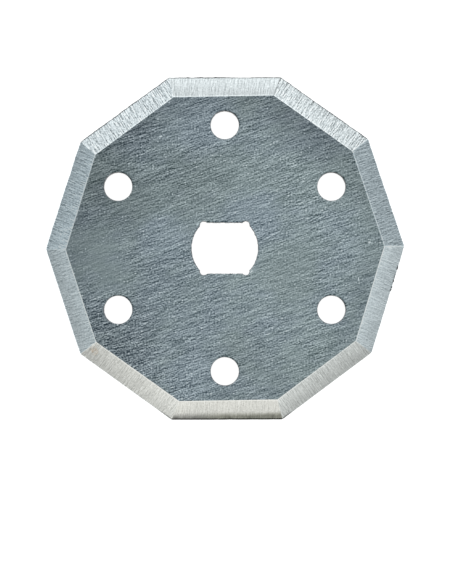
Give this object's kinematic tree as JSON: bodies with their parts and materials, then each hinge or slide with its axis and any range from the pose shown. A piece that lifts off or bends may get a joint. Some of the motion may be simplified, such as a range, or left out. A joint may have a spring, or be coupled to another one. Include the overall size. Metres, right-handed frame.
{
  "type": "rotary cutter blade",
  "caption": "Decagonal rotary cutter blade: a thin steel plate with straight bevelled cutting sides, a round drive opening with flats and a ring of round holes.",
  "frame": {"origin": "centre of the drive opening, on the flat back face that the blade lies on", "axes": "+Z out of the bevelled front face, +X towards a corner of the decagon, so that a straight side faces +Y and one faces -Y; the flats of the drive opening face +Y and -Y"},
  "size_m": [0.045, 0.0428, 0.001],
  "materials": {
    "blade_steel": "ground grey steel with fine straight grind lines, brighter on the bevels"
  },
  "bodies": {
    "root": {"cutter_blade": "blade_steel"}
  },
  "joints": []
}
